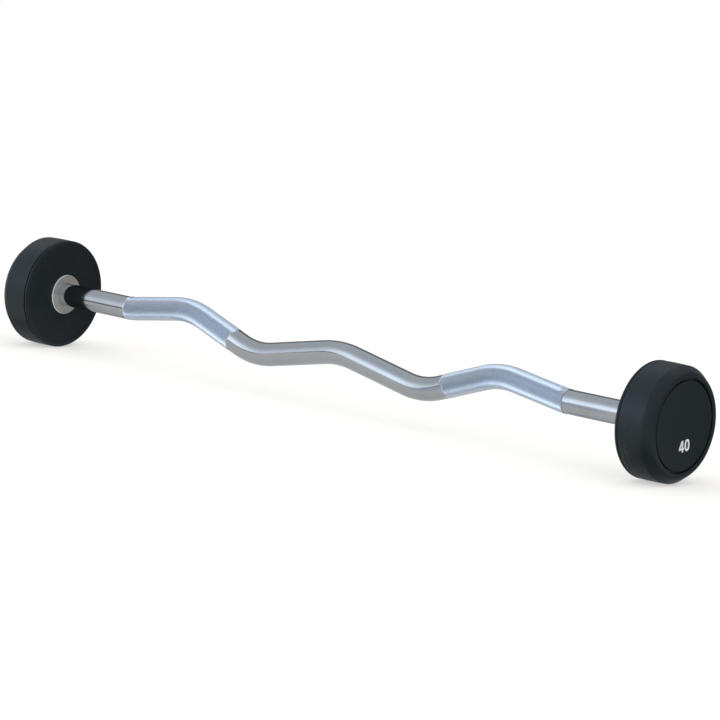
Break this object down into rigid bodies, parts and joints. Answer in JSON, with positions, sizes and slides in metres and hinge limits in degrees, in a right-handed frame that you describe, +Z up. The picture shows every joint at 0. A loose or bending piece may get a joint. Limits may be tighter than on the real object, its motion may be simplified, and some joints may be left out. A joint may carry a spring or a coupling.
{
  "type": "fixed curl barbell",
  "caption": "Fixed-weight curl barbell: a chromed zigzag bar with knurled grips and a round rubber-covered head bolted on each end.",
  "frame": {"origin": "on the common axis of the two heads, half-way between them, which is also the centre of the box", "axes": "+X along the bar towards the right head, +Z up with the two inner bends hanging lowest, +Y to the rear; the bends lie in the XZ plane"},
  "size_m": [1.136, 0.151, 0.151],
  "materials": {
    "chromed_bar": "hard chrome over steel, satin where it is knurled",
    "turned_steel": "turned and polished steel",
    "black_steel": "black oxide on steel",
    "cast_weight": "turned cast iron, bonded to the rubber",
    "black_rubber": "moulded black rubber with a low sheen",
    "face_plate_paint": "matt dark grey paint"
  },
  "bodies": {
    "root": {"bar": "chromed_bar", "left_hub_flange": "turned_steel", "left_hub_key": "black_steel", "left_front_dowel": "black_steel", "left_rear_dowel": "black_steel", "left_weight_core": "cast_weight", "left_rubber_jacket": "black_rubber", "left_clamp_washer": "turned_steel", "left_lock_washer": "black_steel", "left_end_bolt": "black_steel", "left_face_plate": "face_plate_paint", "right_hub_flange": "turned_steel", "right_hub_key": "black_steel", "right_front_dowel": "black_steel", "right_rear_dowel": "black_steel", "right_weight_core": "cast_weight", "right_rubber_jacket": "black_rubber", "right_clamp_washer": "turned_steel", "right_lock_washer": "black_steel", "right_end_bolt": "black_steel", "right_face_plate": "face_plate_paint"}
  },
  "joints": []
}
